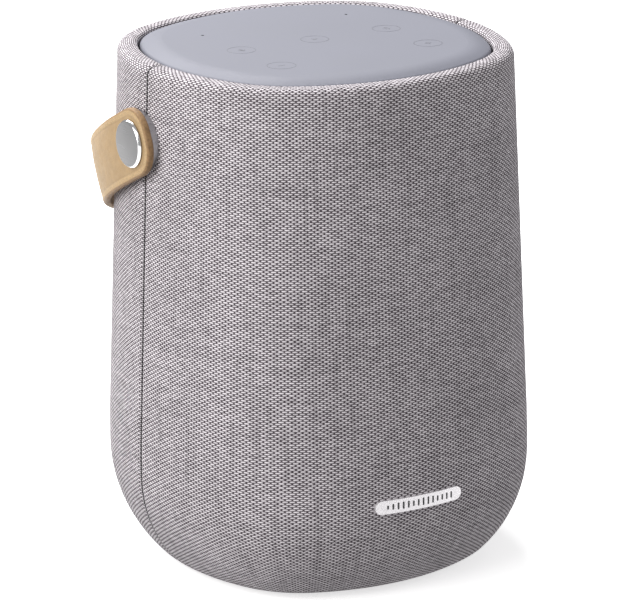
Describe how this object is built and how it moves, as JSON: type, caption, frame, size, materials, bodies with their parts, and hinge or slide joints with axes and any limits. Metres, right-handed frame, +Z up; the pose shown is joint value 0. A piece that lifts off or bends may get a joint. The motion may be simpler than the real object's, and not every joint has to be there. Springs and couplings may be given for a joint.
{
  "type": "smart speaker",
  "caption": "Portable smart speaker: rounded-square fabric body with a bowl-shaped foot, touch panel on top and a leather strap that swings on two rivets.",
  "frame": {"origin": "centre of the flat face of the foot pad, on the body axis", "axes": "+Z up; the front with the badge faces -Y; the strap hinge runs along X"},
  "size_m": [0.1504, 0.1641, 0.1891],
  "materials": {
    "woven_fabric": "two-tone plain weave of light grey and dark mauve yarn",
    "shell_plastic": "moulded",
    "cabinet_plastic": "moulded",
    "panel_plastic": "blue-grey satin, soft touch",
    "strap_leather": "tan, fine grain, turned edge",
    "satin_metal": "satin face, polished bevel",
    "boss_metal": "satin",
    "badge_metal": "blasted",
    "foot_rubber": "matt",
    "seal_rubber": "matt foam",
    "screw_steel": "zinc plated",
    "cone_paper": "pressed, coated pulp",
    "surround_rubber": "satin",
    "spider_cloth": "phenolic cloth",
    "magnet_ferrite": "ferrite, matt",
    "pole_steel": "zinc plated",
    "coil_copper": "enamelled copper",
    "dome_silk": "doped silk",
    "board_green": "solder mask",
    "shield_tin": "tinned sheet",
    "connector_plastic": "nylon",
    "cell_wrap": "shrink wrap",
    "lead_insulation": "insulated wire",
    "ribbon_film": "polyimide",
    "light_pipe": "clear diffuser",
    "control_plastic": "fine spark texture",
    "key_plastic": "satin",
    "basket_steel": "black powder coat",
    "heat_aluminium": "black anodised"
  },
  "bodies": {
    "root": {"antennas": "board_green", "badge": "badge_metal", "baffle": "cabinet_plastic", "baffle_screws": "screw_steel", "baffle_seal": "seal_rubber", "base_plate": "cabinet_plastic", "base_screws": "screw_steel", "battery_cells": "cell_wrap", "battery_lead": "lead_insulation", "battery_tray": "cabinet_plastic", "board_connectors": "connector_plastic", "board_screws": "screw_steel", "cabinet": "cabinet_plastic", "control_board": "board_green", "deck_screws": "screw_steel", "fabric_back": "woven_fabric", "fabric_clamp_ring": "shell_plastic", "fabric_front": "woven_fabric", "foot_pad": "foot_rubber", "grille_shell": "shell_plastic", "heat_sink": "heat_aluminium", "key_switches": "connector_plastic", "light_guide": "light_pipe", "main_board": "board_green", "mic_seals": "seal_rubber", "pivot_anchors": "pole_steel", "pivot_boss_left": "boss_metal", "pivot_boss_right": "boss_metal", "rear_inlay": "control_plastic", "rivet_left": "satin_metal", "rivet_right": "satin_metal", "status_lens": "light_pipe", "top_deck": "shell_plastic", "top_panel": "panel_plastic", "touch_board": "board_green", "touch_ribbon": "ribbon_film", "tweeter_faceplate": "shell_plastic", "tweeter_leads": "lead_insulation", "tweeter_motor": "pole_steel", "tweeter_screws": "screw_steel", "usb_receptacle": "shield_tin", "wireless_module": "shield_tin", "woofer_back_plate": "pole_steel", "woofer_basket": "basket_steel", "woofer_front_plate": "pole_steel", "woofer_gasket": "seal_rubber", "woofer_leads": "lead_insulation", "woofer_magnet": "magnet_ferrite", "woofer_screws": "screw_steel", "woofer_spider": "spider_cloth", "woofer_surround": "surround_rubber", "woofer_terminals": "connector_plastic"},
    "strap": {"handle_strap": "strap_leather"},
    "power_key": {"power_button": "key_plastic"},
    "mute_key": {"mute_button": "key_plastic"},
    "cone": {"woofer_cone": "cone_paper", "woofer_dust_cap": "cone_paper", "woofer_voice_coil": "coil_copper"},
    "dome": {"tweeter_dome": "dome_silk", "tweeter_voice_coil": "coil_copper"}
  },
  "joints": [
    {"name": "strap_hinge", "type": "hinge", "parent": "root", "child": "strap", "pos_m": [0, 0.0028, 0.161], "axis": [1, 0, 0], "range_deg": [0, 222]},
    {"name": "power_press", "type": "slide", "parent": "root", "child": "power_key", "axis": [0, -1, 0], "range_m": [0, 0.0006], "stiffness_N_per_m": 500, "springref_m": -0.002},
    {"name": "mute_press", "type": "slide", "parent": "root", "child": "mute_key", "axis": [0, -1, 0], "range_m": [0, 0.0006], "stiffness_N_per_m": 500, "springref_m": -0.002},
    {"name": "cone_travel", "type": "slide", "parent": "root", "child": "cone", "axis": [0, -1, 0], "range_m": [-0.004, 0.004], "stiffness_N_per_m": 1200, "deforming": ["woofer_surround", "woofer_spider"]},
    {"name": "dome_travel", "type": "slide", "parent": "root", "child": "dome", "axis": [0, -1, 0], "range_m": [-0.0003, 0.0003], "stiffness_N_per_m": 2000}
  ]
}
